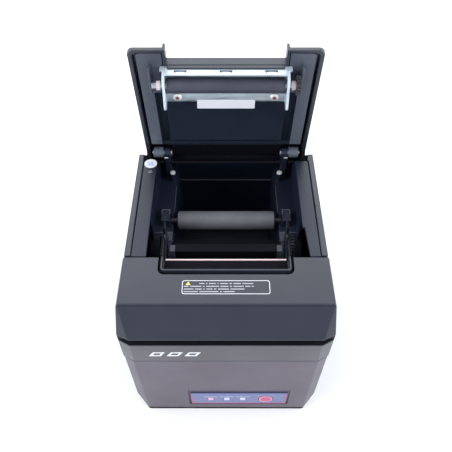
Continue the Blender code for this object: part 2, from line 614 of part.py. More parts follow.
def make_cutter(tilted):
    frame = piece("cutter_frame", block((-46.0, 46.0), (-42.0, -0.8), (-5.0, 1.0)), STEEL, tilted)
    cut(frame, block((-43.6, 43.6), (-50.0, 5.0), (-0.9, 3.0)))
    join(frame, block((10.0, 12.0), (-41.0, -20.0), (-24.0, -4.0)))
    cut(frame, rod("X", WHEEL_AXIS, 2.4, 8.0, 14.0, 20))
    piece("cutter_cover", block((-43.2, 43.2), (-34.0, -0.4), (1.3, 2.5)), INNER_ABS, tilted)
    piece("tear_bar", block((-42.5, 42.5), (0.0, 1.1), (1.2, 2.5)), CERAMIC, tilted)
    edge = [(-42.8, -31.0), (42.8, -31.0), (42.8, -0.3), (0.0, -4.0), (-42.8, -0.3)]
    piece("cutter_blade", plate("Z", edge, -0.5, 0.5), STEEL, tilted)
    motor = piece("cutter_motor", rod("X", WHEEL_AXIS, 7.5, -18.0, 9.7, 28), STEEL, tilted)
    cut(motor, rod("X", WHEEL_AXIS, 1.9, 0.0, 12.0, 16))
    outline = gear_outline(WHEEL_AXIS, 20, 0.0)
    wheel = piece("cutter_wheel", plate("X", outline, 12.4, 17.0), WHITE_PLASTIC, tilted,
                  (0.0, *WHEEL_AXIS))
    join(wheel, rod("X", WHEEL_AXIS, 1.5, 2.0, 13.0, 16))


# ------------------------------------------------------------------------------------------ lid


def lid_plan(half, front, rear, notch_half, notch_rear, corner):
    """Plan outline of the lid: a rectangle with cut front corners and a notch for the paper."""
    right = [(half, rear), (half, front + corner), (half - corner, front), (notch_half, front),
             (notch_half, notch_rear)]
    return right + [(-x, y) for x, y in reversed(right)]


def make_lid_shell(lid):
    """Outer lid: a crowned top with a deep rim, rounded over the hinge at its rear."""
    front = -LID_LENGTH
    outer = [(front, LID_RIM), (front, 3.4), (front + 1.8, 5.0), (-75.0, 7.6), (-50.0, LID_CROWN),
             (-4.0, LID_CROWN)]
    outer += arc((0.0, 0.0), BARREL_SKIRT, 90.0, -50.0, 12)
    outer += [(0.0, LID_RIM)]
    shell = piece("lid_shell", plate("X", outer, -LID_HALF, LID_HALF), BLACK_ABS, lid)
    keep_inside(shell, plate("Z", lid_plan(LID_HALF, front, 20.0, NOTCH_HALF, NOTCH_REAR, 3.2), -12.0, 12.0))
    skin = 2.0
    back_of_nose = front + 2.2
    inner = [(back_of_nose, -12.0), (back_of_nose, 3.0), (-75.0, 5.6), (-50.0, LID_CROWN - skin),
             (-4.0, LID_CROWN - skin)]
    inner += arc((0.0, 0.0), BARREL_SKIRT - 1.6, 90.0, -60.0, 12)
    inner += [(0.0, -12.0)]
    hollow = tool(shell, plate("X", inner, -LID_HALF + 3.2, LID_HALF - 3.2))
    keep_inside(hollow, plate("Z", lid_plan(61.8, back_of_nose, 20.0, NOTCH_HALF + 2.0, NOTCH_REAR + 1.8,
                                            2.0), -15.0, 12.0))
    cut(shell, hollow)
    lip = [(NOTCH_HALF, -LID_LENGTH), (NOTCH_HALF + 1.8, -LID_LENGTH), (NOTCH_HALF + 1.8, NOTCH_REAR + 1.8),
           (-NOTCH_HALF - 1.8, NOTCH_REAR + 1.8), (-NOTCH_HALF - 1.8, -LID_LENGTH),
           (-NOTCH_HALF, -LID_LENGTH), (-NOTCH_HALF, NOTCH_REAR), (NOTCH_HALF, NOTCH_REAR)]
    join(shell, plate("Z", lip, 2.5, 7.4))
    join(shell, block((0.5 - NOTCH_HALF, NOTCH_HALF - 0.5), (NOTCH_REAR + 0.2, NOTCH_REAR + 1.0), (-3.0, 3.4)))
    for side in (-1, 1):
        span = sorted((side * 51.0, side * 59.0))
        join(shell, rod("X", (0.0, 0.0), 4.2, *span, 24), block(span, (-3.4, 3.4), (0.0, 8.0)))
        cut(shell, rod("X", (0.0, 0.0), 1.9, span[0] - 0.5, span[1] + 0.5, 16))
        cut(shell, block(sorted((side * 44.7, side * 51.0)), (0.0, 12.0), (-12.0, 5.2)))
    return shell


def make_lid_inner(lid):
    """Inner lid panel: flat wings beside a sunk middle, with a scoop over the roll and two bosses."""
    plan = lid_plan(59.7, 2.9 - LID_LENGTH, -9.5, NOTCH_HALF + 2.6, NOTCH_REAR + 2.3, 1.6)
    panel = piece("lid_inner", plate("Z", plan, 0.6, 2.4), GREY_ABS, lid)
    pan = [(-67.0, 0.9), (-67.0, 5.6), (-50.0, 6.3), (-11.0, 6.3), (-11.0, 0.9)]
    join(panel, plate("X", pan, -51.9, 51.9))
    hollow = [(-65.8, -1.0), (-65.8, 4.2), (-50.0, 4.8), (-12.2, 4.8), (-12.2, -1.0)]
    cut(panel, plate("X", hollow, -50.7, 50.7))
    scoop = arc((-39.0, -120.8), 124.4, 101.6, 78.4, 12) + [(-13.4, 5.4), (-50.0, 5.4), (-64.2, 4.9)]
    join(panel, plate("X", scoop, -44.0, 44.0))
    join(panel, block((-43.6, 43.6), (-12.0, 3.8), (0.8, 2.2)))
    for side in (-1, 1):
        join(panel, rod("Z", (side * SCREW_PLACE[0], SCREW_PLACE[1]), 1.2, -8.1, 1.5, 20))
        join(panel, block(sorted((side * 51.2, side * 52.6)), (-92.0, -69.0), (-4.0, 1.5)))
    return panel


def make_bracket(lid):
    """Folded sheet bracket that carries the platen: web, front flange, screw flange and two ears."""
    section = [(-90.4, -8.0), (-90.4, 0.2), (-73.6, 0.2), (-73.6, -8.4), (-67.4, -8.4), (-67.4, -9.4),
               (-74.8, -9.4), (-74.8, -0.8), (-89.2, -0.8), (-89.2, -8.0)]
    bracket = piece("platen_bracket", plate("X", section, -41.2, 41.2), ZINC, lid)
    join(bracket, block((-44.5, 44.5), (-90.3, -89.3), (-4.2, 0.2)))
    ear = [(-90.2, 0.2), (-90.2, -5.5), (-88.0, -11.5), (-80.0, -13.5), (-70.0, -17.2), (-67.0, -17.4),
           (-66.3, -16.0), (-68.5, -6.0), (-72.0, 0.2)]
    for side in (-1, 1):
        join(bracket, plate("X", ear, *sorted((side * 41.0, side * 42.8))))
        cut(bracket, block(sorted((side * 38.2, side * 40.9)), (-73.4, -60.0), (-10.0, -8.0)))
        cut(bracket, rod("Z", (side * 24.0, -70.4), 1.1, -12.0, -7.0, 12))
    cut(bracket, block((-20.6, 20.6), (-69.3, -60.0), (-10.0, -8.0)))
    cut(bracket, rod("X", PLATEN_AXIS, SHAFT_RADIUS + 0.5, -46.0, 46.0, 24))
    for centre in (-30.5, 0.0, 30.5):
        slot = [(centre - 4.2, -3.6), (centre - 4.2, -5.0), (centre - 3.6, -6.0), (centre - 2.8, -5.0),
                (centre + 2.8, -5.0), (centre + 3.6, -6.0), (centre + 4.2, -5.0), (centre + 4.2, -3.6)]
        cut(bracket, plate("Y", slot, -95.0, -88.0))
    piece("bracket_tab", block((-20.3, 20.3), (-69.0, -60.6), (-9.6, -8.4)), WHITE_PLASTIC, lid)
    for name, side in (("left", -1), ("right", 1)):
        x, y = side * SCREW_PLACE[0], SCREW_PLACE[1]
        screw = turned("bracket_screw_" + name, "Z", (x, y),
                       [(0.0, -9.7), (3.1, -9.7), (3.0, -10.2), (2.2, -10.9), (0.0, -11.1)], ZINC, lid, 20)
        cut(screw, block((x - 1.6, x + 1.6), (y - 0.3, y + 0.3), (-12.0, -10.6)),
            block((x - 0.3, x + 0.3), (y - 1.6, y + 1.6), (-12.0, -10.6)))


def make_platen(lid):
    half = 40.0
    bore = SHAFT_RADIUS + GAP
    turned("platen_roller", "X", PLATEN_AXIS,
           [(PLATEN_RADIUS - 0.6, half), (PLATEN_RADIUS, half - 0.6), (PLATEN_RADIUS, 0.6 - half),
            (PLATEN_RADIUS - 0.6, -half), (bore, -half), (bore, half)], RUBBER, lid)
    turned("platen_shaft", "X", PLATEN_AXIS,
           [(0.0, 50.8), (2.1, 50.8), (SHAFT_RADIUS, 50.4), (SHAFT_RADIUS, -49.9), (2.1, -50.3),
            (0.0, -50.3)], STEEL, lid, 24)
    for name, side in (("left", -1), ("right", 1)):
        ends = sorted((side * 44.5, side * 47.2))
        turned("platen_bushing_" + name, "X", PLATEN_AXIS,
               [(3.2, ends[1]), (3.2, ends[0]), (bore, ends[0]), (bore, ends[1])], WHITE_PLASTIC, lid, 24)


def make_hinge_pins():
    for name, side in (("left", -1), ("right", 1)):
        profile = [(0.0, 60.0), (1.2, 60.0), (1.55, 59.6), (1.55, 44.9), (2.9, 44.9), (2.9, 44.0),
                   (0.0, 44.0)]
        if side < 0:
            profile = [(radius, -along) for radius, along in reversed(profile)]
        turned("hinge_pin_" + name, "X", HINGE[1:], profile, STEEL, steps=16)


def make_ledge_details():
    turned("check_sticker", "Z", (-60.6, 52.2),
           [(0.0, 142.8), (5.0, 142.8), (5.0, 142.5), (0.0, 142.5)], WHITE_PLASTIC, steps=28)
    turned("ledge_screw", "Z", (-60.0, 43.3),
           [(0.0, 142.9), (1.2, 142.9), (1.9, 142.5), (0.0, 142.5)], ZINC, steps=16)


lid_frame = pivot_frame("lid_hinge", HINGE, -LID_OPENING)
cutter_tilt = pivot_frame("cutter_slope", CUTTER_ORIGIN, CUTTER_TILT)

make_lower_case()
make_upper_case()
make_front_cover()
make_feet()
make_connector_recess()
make_bay_frame()
make_bay_screws()
make_guide_roller()
make_control_panel()
make_ports()
make_power_switch()
make_gears(lid_frame)
make_mechanism()
make_latch()
make_cutter(cutter_tilt)
make_lid_shell(lid_frame)
make_lid_inner(lid_frame)
make_bracket(lid_frame)
make_platen(lid_frame)
make_hinge_pins()
make_ledge_details()
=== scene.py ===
"""Looks of the receipt printer: finishes, rounded edges, printed marks, lights and camera."""
import json
import math

import bmesh
import bpy
from mathutils import Matrix, Vector

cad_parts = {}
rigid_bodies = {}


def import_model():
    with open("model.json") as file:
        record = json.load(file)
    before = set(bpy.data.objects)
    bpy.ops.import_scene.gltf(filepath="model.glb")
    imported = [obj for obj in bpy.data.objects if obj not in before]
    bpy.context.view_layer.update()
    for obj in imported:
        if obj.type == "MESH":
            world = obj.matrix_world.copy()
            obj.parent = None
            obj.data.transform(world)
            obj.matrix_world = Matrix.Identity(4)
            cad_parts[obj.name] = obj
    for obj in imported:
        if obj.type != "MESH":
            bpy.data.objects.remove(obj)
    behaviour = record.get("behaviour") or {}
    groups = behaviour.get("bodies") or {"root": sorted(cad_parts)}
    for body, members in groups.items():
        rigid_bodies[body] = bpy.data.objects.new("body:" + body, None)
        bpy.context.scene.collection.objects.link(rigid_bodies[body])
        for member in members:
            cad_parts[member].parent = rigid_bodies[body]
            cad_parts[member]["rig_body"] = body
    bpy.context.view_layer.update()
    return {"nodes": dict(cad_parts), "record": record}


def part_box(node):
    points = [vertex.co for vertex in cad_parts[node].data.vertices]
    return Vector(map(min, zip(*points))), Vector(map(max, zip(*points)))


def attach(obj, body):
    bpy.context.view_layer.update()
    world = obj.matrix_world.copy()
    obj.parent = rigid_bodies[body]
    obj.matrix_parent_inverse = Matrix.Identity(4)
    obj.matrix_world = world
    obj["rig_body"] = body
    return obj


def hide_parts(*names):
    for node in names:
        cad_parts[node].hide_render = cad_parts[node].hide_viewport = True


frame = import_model()
NODES = frame["nodes"]

# Lengths are in millimetres, angles in degrees, unless a comment says otherwise.
MM = 0.001
HINGE_PLACE = (0.0, 65.0, 143.0)
LID_OPENING = 82.0
HOOD_TOP = 142.0
PLATFORM_TOP = 117.0
BRACKET_SCREW = (33.4, -72.1)
BRACKET_SLOTS = (-30.5, 0.0, 30.5)
KEY_CENTRE = (32.0, 21.4)
SIDES = (("left", -1), ("right", 1))

# Rounding: which edges turn enough and are long enough for their width, and where shading breaks.
CORNER_ANGLE = 28.0
SHADING_MARGIN = 8.0
FLAT_ANGLE = 0.6
LEAST_EDGE = 1.6
ROUND_STEPS = 2
MERGE_DISTANCE = 0.000002   # metres

# Textures, in cells per metre.
CLOUDS = 28.0
GRAIN = 2600.0
SMUDGES = 30.0
RUBBER_RINGS = 3500.0
RUBBER_DUST = 45.0
ROLLING_STREAKS = 900.0
PLATING_CLOUDS = 60.0
INK_SCREEN = 900.0
INK_RELIEF = 1500.0
BOARD_TRACKS = 260.0

# Depths of the textures and the reach of worn edges, in metres.
GRAIN_DEPTH = 0.000012
RING_DEPTH = 0.00003
STREAK_DEPTH = 0.00001
TRACK_DEPTH = 0.00004
WEAR_RADIUS = 0.0006

# Floor, tent, lamps and camera, in metres; the camera's tilt is up from straight down.
FLOOR_HALF = 3.0
TENT_COLOUR = (0.90, 0.94, 1.0, 1.0)
TENT_DARK_SIDE = (0.0, -0.63, 0.78)
TENT_BRIGHT = 1.55
TENT_DARK = 0.5
LIGHT_AIM = Vector((0.0, 0.0, 0.1))
CAMERA_PLACE = (0.0, -0.2464, 0.4327)
CAMERA_TILT = 38.9
CAMERA_LENS = 40.86
CAMERA_SENSOR = 36.0


# ------------------------------------------------------------------------------ material tools


def material(name, colour, roughness, metallic=0.0, specular=0.5, coat=0.0):
    """A Principled material; the look functions add texture to it."""
    made = bpy.data.materials.new(name)
    made.use_nodes = True
    shader = made.node_tree.nodes["Principled BSDF"]
    shader.inputs["Base Color"].default_value = (*colour, 1.0)
    shader.inputs["Roughness"].default_value = roughness
    shader.inputs["Metallic"].default_value = metallic
    shader.inputs["Specular IOR Level"].default_value = specular
    shader.inputs["Coat Weight"].default_value = coat
    return made


def node(made, kind, **settings):
    """A new shader node; each setting is one of its inputs or else one of its properties."""
    found = made.node_tree.nodes.new(kind)
    for key, value in settings.items():
        if key in found.inputs:
            found.inputs[key].default_value = value
        else:
            setattr(found, key, value)
    return found


def link(made, source, target):
    made.node_tree.links.new(source, target)


def shader_of(made):
    return made.node_tree.nodes["Principled BSDF"]


def object_place(made, stretch=(1.0, 1.0, 1.0)):
    """Object coordinates in metres, stretched on each axis."""
    place = node(made, "ShaderNodeTexCoord")
    mapping = node(made, "ShaderNodeMapping")
    mapping.inputs["Scale"].default_value = stretch
    link(made, place.outputs["Object"], mapping.inputs["Vector"])
    return mapping.outputs["Vector"]


def noise(made, place, per_metre, detail=2.0, rough=0.5):
    """A noise texture's value at a place, with so many cells per metre."""
    texture = node(made, "ShaderNodeTexNoise", Scale=per_metre, Detail=detail, Roughness=rough)
    link(made, place, texture.inputs["Vector"])
    return texture.outputs["Fac"]


def spread(made, factor, low, high, start=0.3, end=0.7):
    """Turn a texture's middle range into values between low and high."""
    ranged = node(made, "ShaderNodeMapRange")
    for key, value in (("From Min", start), ("From Max", end), ("To Min", low), ("To Max", high)):
        ranged.inputs[key].default_value = value
    link(made, factor, ranged.inputs["Value"])
    return ranged.outputs["Result"]


def vary_colour(made, factor, first, second):
    """A colour that runs from the first to the second over a texture's middle range."""
    ramp = node(made, "ShaderNodeValToRGB")
    ramp.color_ramp.elements[0].position = 0.3
    ramp.color_ramp.elements[1].position = 0.7
    ramp.color_ramp.elements[0].color = (*first, 1.0)
    ramp.color_ramp.elements[1].color = (*second, 1.0)
    link(made, factor, ramp.inputs["Fac"])
    return ramp.outputs["Color"]


def edge_mask(made, radius):
    """How sharply the surface turns within a radius: 0 on flats, up to 1 on edges."""
    rounded = node(made, "ShaderNodeBevel", samples=4)
    rounded.inputs["Radius"].default_value = radius
    flat = node(made, "ShaderNodeNewGeometry")
    turn = node(made, "ShaderNodeVectorMath", operation="DOT_PRODUCT")
    link(made, rounded.outputs["Normal"], turn.inputs[0])
    link(made, flat.outputs["Normal"], turn.inputs[1])
    return spread(made, turn.outputs["Value"], 1.0, 0.0, 0.75, 0.98)


def mix(made, factor, first, second):
    """Mix two colour sockets by a factor socket."""
    blend = node(made, "ShaderNodeMix", data_type="RGBA")
    link(made, factor, blend.inputs["Factor"])
    for value, socket in ((first, blend.inputs[6]), (second, blend.inputs[7])):
        if isinstance(value, tuple):
            socket.default_value = (*value, 1.0)
        else:
            link(made, value, socket)
    return blend.outputs[2]


def bump(made, height, distance):
    """Raise the material's surface by a texture, up to a distance in metres."""
    raised = node(made, "ShaderNodeBump", Strength=1.0, Distance=distance)
    link(made, height, raised.inputs["Height"])
    link(made, raised.outputs["Normal"], shader_of(made).inputs["Normal"])


# --------------------------------------------------------------------------------- materials


def moulded_plastic(name, colour, roughness, shift=0.12, specular=0.5, wear=0.4, smudge=0.045):
    """Moulded ABS: a fine spark-eroded grain, faint handling marks and paler, polished edges."""
    made = material(name, colour, roughness, specular=specular)
    place = object_place(made)
    cloud = noise(made, place, CLOUDS, 3.0)
    fine = noise(made, place, GRAIN, 2.0, 0.6)
    darker = tuple(c * (1.0 - shift) for c in colour)
    lighter = tuple(c * (1.0 + shift) for c in colour)
    body = vary_colour(made, cloud, darker, lighter)
    worn = tuple(c * (1.0 + wear) + 0.01 * wear for c in colour)
    link(made, mix(made, edge_mask(made, WEAR_RADIUS), body, worn), shader_of(made).inputs["Base Color"])
    if smudge:
        hands = noise(made, object_place(made, (1.0, 0.6, 1.6)), SMUDGES, 1.0)
        link(made, spread(made, hands, roughness - smudge, roughness + smudge, 0.1, 0.9),
             shader_of(made).inputs["Roughness"])
    bump(made, fine, GRAIN_DEPTH)
    return made


def paint_light_below(made, colour, low, high, most=0.8):
    """Painted light: mix a paler colour in towards the lower end, between two heights in metres."""
    base = shader_of(made).inputs["Base Color"]
    body = base.links[0].from_socket
    parts = node(made, "ShaderNodeSeparateXYZ")
    link(made, object_place(made), parts.inputs["Vector"])
    link(made, mix(made, spread(made, parts.outputs["Z"], most, 0.0, low, high), body, colour), base)


def ground_rubber(name, colour, roughness):
    """Ground roller rubber: fine rings round the roller and a dusty, slightly uneven tone."""
    made = material(name, colour, roughness, specular=0.35)
    rings = noise(made, object_place(made, (1.0, 0.02, 0.02)), RUBBER_RINGS, 2.0)
    cloud = noise(made, object_place(made), RUBBER_DUST, 3.0)
    darker = tuple(c * 0.8 for c in colour)
    link(made, vary_colour(made, cloud, darker, tuple(c * 1.15 for c in colour)),
         shader_of(made).inputs["Base Color"])
    link(made, spread(made, cloud, roughness - 0.06, roughness + 0.08), shader_of(made).inputs["Roughness"])
    bump(made, rings, RING_DEPTH)
    return made


def rolled_metal(name, colour, roughness, stretch, metallic=1.0):
    """Rolled or plated sheet: streaks along one direction, and cloudy, duller patches."""
    made = material(name, colour, roughness, metallic=metallic)
    streaks = noise(made, object_place(made, stretch), ROLLING_STREAKS, 3.0, 0.6)
    cloud = noise(made, object_place(made), PLATING_CLOUDS, 3.0)
    dull = tuple(c * 0.75 for c in colour)
    link(made, vary_colour(made, cloud, dull, colour), shader_of(made).inputs["Base Color"])
    link(made, spread(made, streaks, roughness - 0.06, roughness + 0.10), shader_of(made).inputs["Roughness"])
    bump(made, streaks, STREAK_DEPTH)
    return made


def printed_film(name, colour, roughness=0.3):
    """Printed polyester film: even ink with a very fine screen texture."""
    made = material(name, colour, roughness, coat=0.15)
    speck = noise(made, object_place(made), INK_SCREEN, 2.0)
    darker = tuple(c * 0.93 for c in colour)
    lighter = tuple(min(1.0, c * 1.05) for c in colour)
    link(made, vary_colour(made, speck, darker, lighter), shader_of(made).inputs["Base Color"])
    bump(made, noise(made, object_place(made), INK_RELIEF, 2.0), GRAIN_DEPTH)
    return made


def solder_mask(name):
    """Circuit board: green mask over faint copper tracks."""
    made = material(name, (0.02, 0.16, 0.06), 0.4, coat=0.3)
    place = object_place(made)
    tracks = node(made, "ShaderNodeTexBrick", Scale=BOARD_TRACKS)
    tracks.inputs["Color1"].default_value = (0.016, 0.13, 0.05, 1.0)
    tracks.inputs["Color2"].default_value = (0.022, 0.17, 0.065, 1.0)
    tracks.inputs["Mortar"].default_value = (0.05, 0.24, 0.09, 1.0)
    tracks.inputs["Mortar Size"].default_value = 0.06
    link(made, place, tracks.inputs["Vector"])
    link(made, tracks.outputs["Color"], shader_of(made).inputs["Base Color"])
    bump(made, tracks.outputs["Fac"], TRACK_DEPTH)
    return made


CASE = moulded_plastic("case_plastic", (0.017, 0.022, 0.034), 0.30)
LOWER = moulded_plastic("lower_case_plastic", (0.074, 0.062, 0.088), 0.40)
FASCIA = moulded_plastic("hood_plastic", (0.021, 0.024, 0.037), 0.30)
LID_SKIN_AND_LIGHT = moulded_plastic("lid_inner_plastic_and_painted_light", (0.052, 0.061, 0.084), 0.30)
# Painted light: the lid's inner face turns paler towards its lower end.
paint_light_below(LID_SKIN_AND_LIGHT, (0.095, 0.108, 0.138), 0.165, 0.235)
# Painted shade: a darker copy of the lid's inner plastic for the recessed scoop.
SCOOP_SHADE = moulded_plastic("lid_scoop_painted_shade", (0.013, 0.019, 0.030), 0.26, smudge=0.0)
BAY = moulded_plastic("bay_plastic", (0.010, 0.015, 0.030), 0.34, specular=0.42)
# Near-black plastic: the own colour of the dark mechanism parts, and painted shade where it lies on faces of
# the lid, hood and bracket.
BLACK_AND_SHADE = moulded_plastic("black_plastic", (0.003, 0.003, 0.006), 0.55, specular=0.12)
# Painted light: a pale grey for the lit ramps of the mechanism frame.
PAINTED_LIGHT_PANEL = moulded_plastic("frame_painted_light", (0.16, 0.18, 0.24), 0.34)
BAY_PLATE = moulded_plastic("bay_plate_coating", (0.044, 0.051, 0.070), 0.36, specular=0.42)
MECH_GREY = moulded_plastic("latch_coating", (0.022, 0.026, 0.038), 0.42, specular=0.3)
HOOD_STRIP = moulded_plastic("hood_strip_plastic", (0.050, 0.049, 0.062), 0.32)
# Painted highlight: light grey for the highlight lines along edges inside the bay.
EDGE_HIGHLIGHT = moulded_plastic("painted_edge_highlight", (0.10, 0.11, 0.13), 0.3)
SMALL = moulded_plastic("small_black_plastic", (0.015, 0.015, 0.018), 0.4)
BUTTON_GREY = moulded_plastic("release_plastic", (0.04, 0.04, 0.05), 0.4)
RUBBER = moulded_plastic("foot_rubber", (0.02, 0.02, 0.021), 0.8, specular=0.3)
PLATEN = ground_rubber("roller_rubber", (0.042, 0.044, 0.066), 0.5)
GUIDE = ground_rubber("guide_roller_plastic", (0.118, 0.120, 0.136), 0.42)
ZINC = rolled_metal("zinc_sheet", (0.67, 0.77, 0.85), 0.40, (0.08, 1.0, 1.0), metallic=0.55)
# Plated screw metal with a near-white colour that paints its highlight; it also paints the glints on the
# hinge posts.
SCREW_AND_GLINT = rolled_metal("plated_screw_and_painted_glint", (0.94, 0.94, 0.96), 0.34, (1.0, 1.0, 1.0), metallic=0.4)
STEEL = rolled_metal("ground_steel", (0.55, 0.56, 0.60), 0.32, (0.1, 1.0, 1.0))
DULL_STEEL = rolled_metal("dull_steel", (0.22, 0.22, 0.25), 0.5, (0.1, 1.0, 1.0))
ACETAL = moulded_plastic("acetal", (0.40, 0.39, 0.38), 0.42, shift=0.06, wear=0.1)
GEAR_DARK = moulded_plastic("gear_plastic", (0.030, 0.030, 0.036), 0.42)
BUSHING = moulded_plastic("bushing_plastic", (0.62, 0.54, 0.56), 0.35, shift=0.05, wear=0.1)
CERAMIC = moulded_plastic("tear_ceramic", (0.74, 0.56, 0.58), 0.3, shift=0.06, wear=0.1)
WHITE = moulded_plastic("white_trim", (0.66, 0.67, 0.72), 0.45, shift=0.05, wear=0.1)
BOARD = solder_mask("circuit_board")
LABEL = printed_film("panel_label", (0.105, 0.135, 0.30))
MAGENTA = printed_film("panel_border_ink", (0.40, 0.04, 0.16))
PALE_INK = printed_film("pale_ink", (0.27, 0.31, 0.52))
LENS = printed_film("led_lens", (0.60, 0.56, 0.74), 0.25)
# Painted glow: a pink tint for the lit power light's lens.
LENS_PINK_GLOW = printed_film("power_led_lens_painted_glow", (0.72, 0.40, 0.58), 0.25)
KEY = printed_film("key_plastic", (0.50, 0.06, 0.17), 0.4)
KEY_RING = printed_film("key_ring_ink", (0.60, 0.28, 0.40))
WHITE_INK = printed_film("white_ink", (0.72, 0.73, 0.78))
GREY_INK = printed_film("grey_ink", (0.40, 0.40, 0.45))
YELLOW_INK = printed_film("yellow_ink", (0.72, 0.68, 0.10))
BLUE_INK = printed_film("blue_ink", (0.16, 0.34, 0.60))
THREAD_LOCK = printed_film("thread_lock", (0.16, 0.045, 0.035), 0.5)
GOLD = rolled_metal("gold_contact", (0.85, 0.62, 0.25), 0.3, (1.0, 0.1, 1.0))

# The finish for each material slot of the CAD part.
FINISHES = {
    "case_abs": CASE, "lid_inner_abs": LID_SKIN_AND_LIGHT, "bay_abs": BAY, "small_black_plastic": SMALL,
    "release_plastic": BUTTON_GREY, "foot_rubber": RUBBER, "roller_rubber": PLATEN,
    "guide_roller_plastic": GUIDE, "zinc_sheet": ZINC, "steel": STEEL, "gear_acetal": ACETAL,
    "tear_ceramic": CERAMIC, "white_trim": WHITE, "circuit_board": BOARD, "panel_label": LABEL,
    "led_lens": LENS, "key_plastic": KEY,
}
# Pieces whose finish isn't the one their material slot has.
OWN_FINISH = {
    "lower_case": LOWER, "connector_recess": LOWER, "front_cover": FASCIA, "platen_gear": GEAR_DARK,
    "idler_gear": GEAR_DARK, "motor_pinion": DULL_STEEL, "platen_bushing_left": BUSHING,
    "platen_bushing_right": BUSHING, "mechanism_frame": BLACK_AND_SHADE, "print_head": BLACK_AND_SHADE,
    "latch_hooks": MECH_GREY, "paper_guide": BLACK_AND_SHADE, "guide_shaft": GEAR_DARK, "cutter_cover": BLACK_AND_SHADE,
    "ledge_screw": DULL_STEEL, "paper_sensor": BLACK_AND_SHADE, "bracket_screw_left": SCREW_AND_GLINT,
    "bracket_screw_right": SCREW_AND_GLINT, "bay_screw_left": SCREW_AND_GLINT, "bay_screw_right": SCREW_AND_GLINT, "led_power": LENS_PINK_GLOW,
}
SLOT_OF = {entry["node"]: entry["material_slot"] for entry in frame["record"]["subparts"]}
FINISH_OF = {name: OWN_FINISH.get(name, FINISHES[slot]) for name, slot in SLOT_OF.items()}
for name, finish in FINISH_OF.items():
    NODES[name].data.materials.clear()
    NODES[name].data.materials.append(finish)


# ------------------------------------------------------------------------------ finer meshes


def finished(bm, name):
    """Turn a bmesh into a mesh with a name, and free it."""
    mesh = bpy.data.meshes.new(name)
    bm.to_mesh(mesh)
    bm.free()
    return mesh


def add_object(name, mesh, finish, body):
    """A new piece of the printer, given in the printer's frame, that moves with a body."""
    obj = bpy.data.objects.new(name, mesh)
    bpy.context.scene.collection.objects.link(obj)
    mesh.materials.clear()
    mesh.materials.append(finish)
    for face in mesh.polygons:
        face.use_smooth = True
    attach(obj, body)
    return obj


def weighted_shading(obj):
    """Shade by the larger faces, so that rounded edges look round and flats stay flat."""
    shading = obj.modifiers.new("shading", "WEIGHTED_NORMAL")
    shading.keep_sharp = True
    shading.weight = 60


def round_edges(bm, width, corner):
    """Round every edge that turns by more than the corner angle and is long enough to take it."""
    bmesh.ops.remove_doubles(bm, verts=bm.verts, dist=MERGE_DISTANCE)
    bmesh.ops.dissolve_limit(bm, angle_limit=math.radians(FLAT_ANGLE), use_dissolve_boundaries=False,
                             verts=bm.verts, edges=bm.edges)
    turning = [edge for edge in bm.edges if len(edge.link_faces) == 2
               and edge.calc_face_angle(0.0) > math.radians(corner)
               and edge.calc_length() > LEAST_EDGE * width * MM]
    bmesh.ops.bevel(bm, geom=turning, offset=width * MM, offset_type="OFFSET", segments=ROUND_STEPS,
                    profile=0.5, affect="EDGES", clamp_overlap=False, miter_outer="ARC", spread=0.0001)
    break_angle = math.radians(corner + SHADING_MARGIN)
    for edge in bm.edges:
        edge.smooth = len(edge.link_faces) == 2 and edge.calc_face_angle(0.0) < break_angle


def in_box(point, x, y, z):
    """Whether a point in metres is inside limits in millimetres; X is compared without its sign."""
    place = (abs(point.x), point.y, point.z)
    return all(low <= value / MM <= high for value, (low, high) in zip(place, (x, y, z)))


# Faces with another finish than the rest of their piece: (finish, X without sign, Y, Z), in millimetres.
OTHER_FACES = {
    "front_cover": [(HOOD_STRIP, (0.0, 80.0), (-95.2, -94.0), (90.0, 118.7)),
                    # Painted shade: black in the groove under the hood and in the paper exit's channel.
                    (BLACK_AND_SHADE, (0.0, 80.0), (-94.8, -90.0), (118.5, 126.5)),
                    (BLACK_AND_SHADE, (0.0, 46.8), (-54.0, -30.0), (130.0, 141.95))],
    # Painted shade: black below the scoop, and the darker scoop copy across the scoop.
    "lid_inner": [(BLACK_AND_SHADE, (0.0, 43.7), (40.0, 80.0), (130.0, 155.8)),
                  (SCOOP_SHADE, (0.0, 51.05), (30.0, 80.0), (130.0, 209.5))],
    "lid_shell": [(LID_SKIN_AND_LIGHT, (50.9, 59.1), (60.6, 69.4), (138.6, 147.4)),
                  # Painted shade: black on the front of the hinge skirt.
                  (BLACK_AND_SHADE, (0.0, 80.0), (50.0, 72.0), (130.0, 155.0))],
    # Painted light: pale grey on the frame's ramps inside the bay.
    "mechanism_frame": [(PAINTED_LIGHT_PANEL, (39.4, 45.4), (-22.1, -5.3), (101.0, 117.0)),
                        (MECH_GREY, (44.7, 45.0), (-37.0, -4.0), (94.0, 140.0))],
}

# Planes across X, in millimetres, that divide a piece's faces where its finish changes.
SPLITS = {"lid_inner": [-51.0, 51.0]}


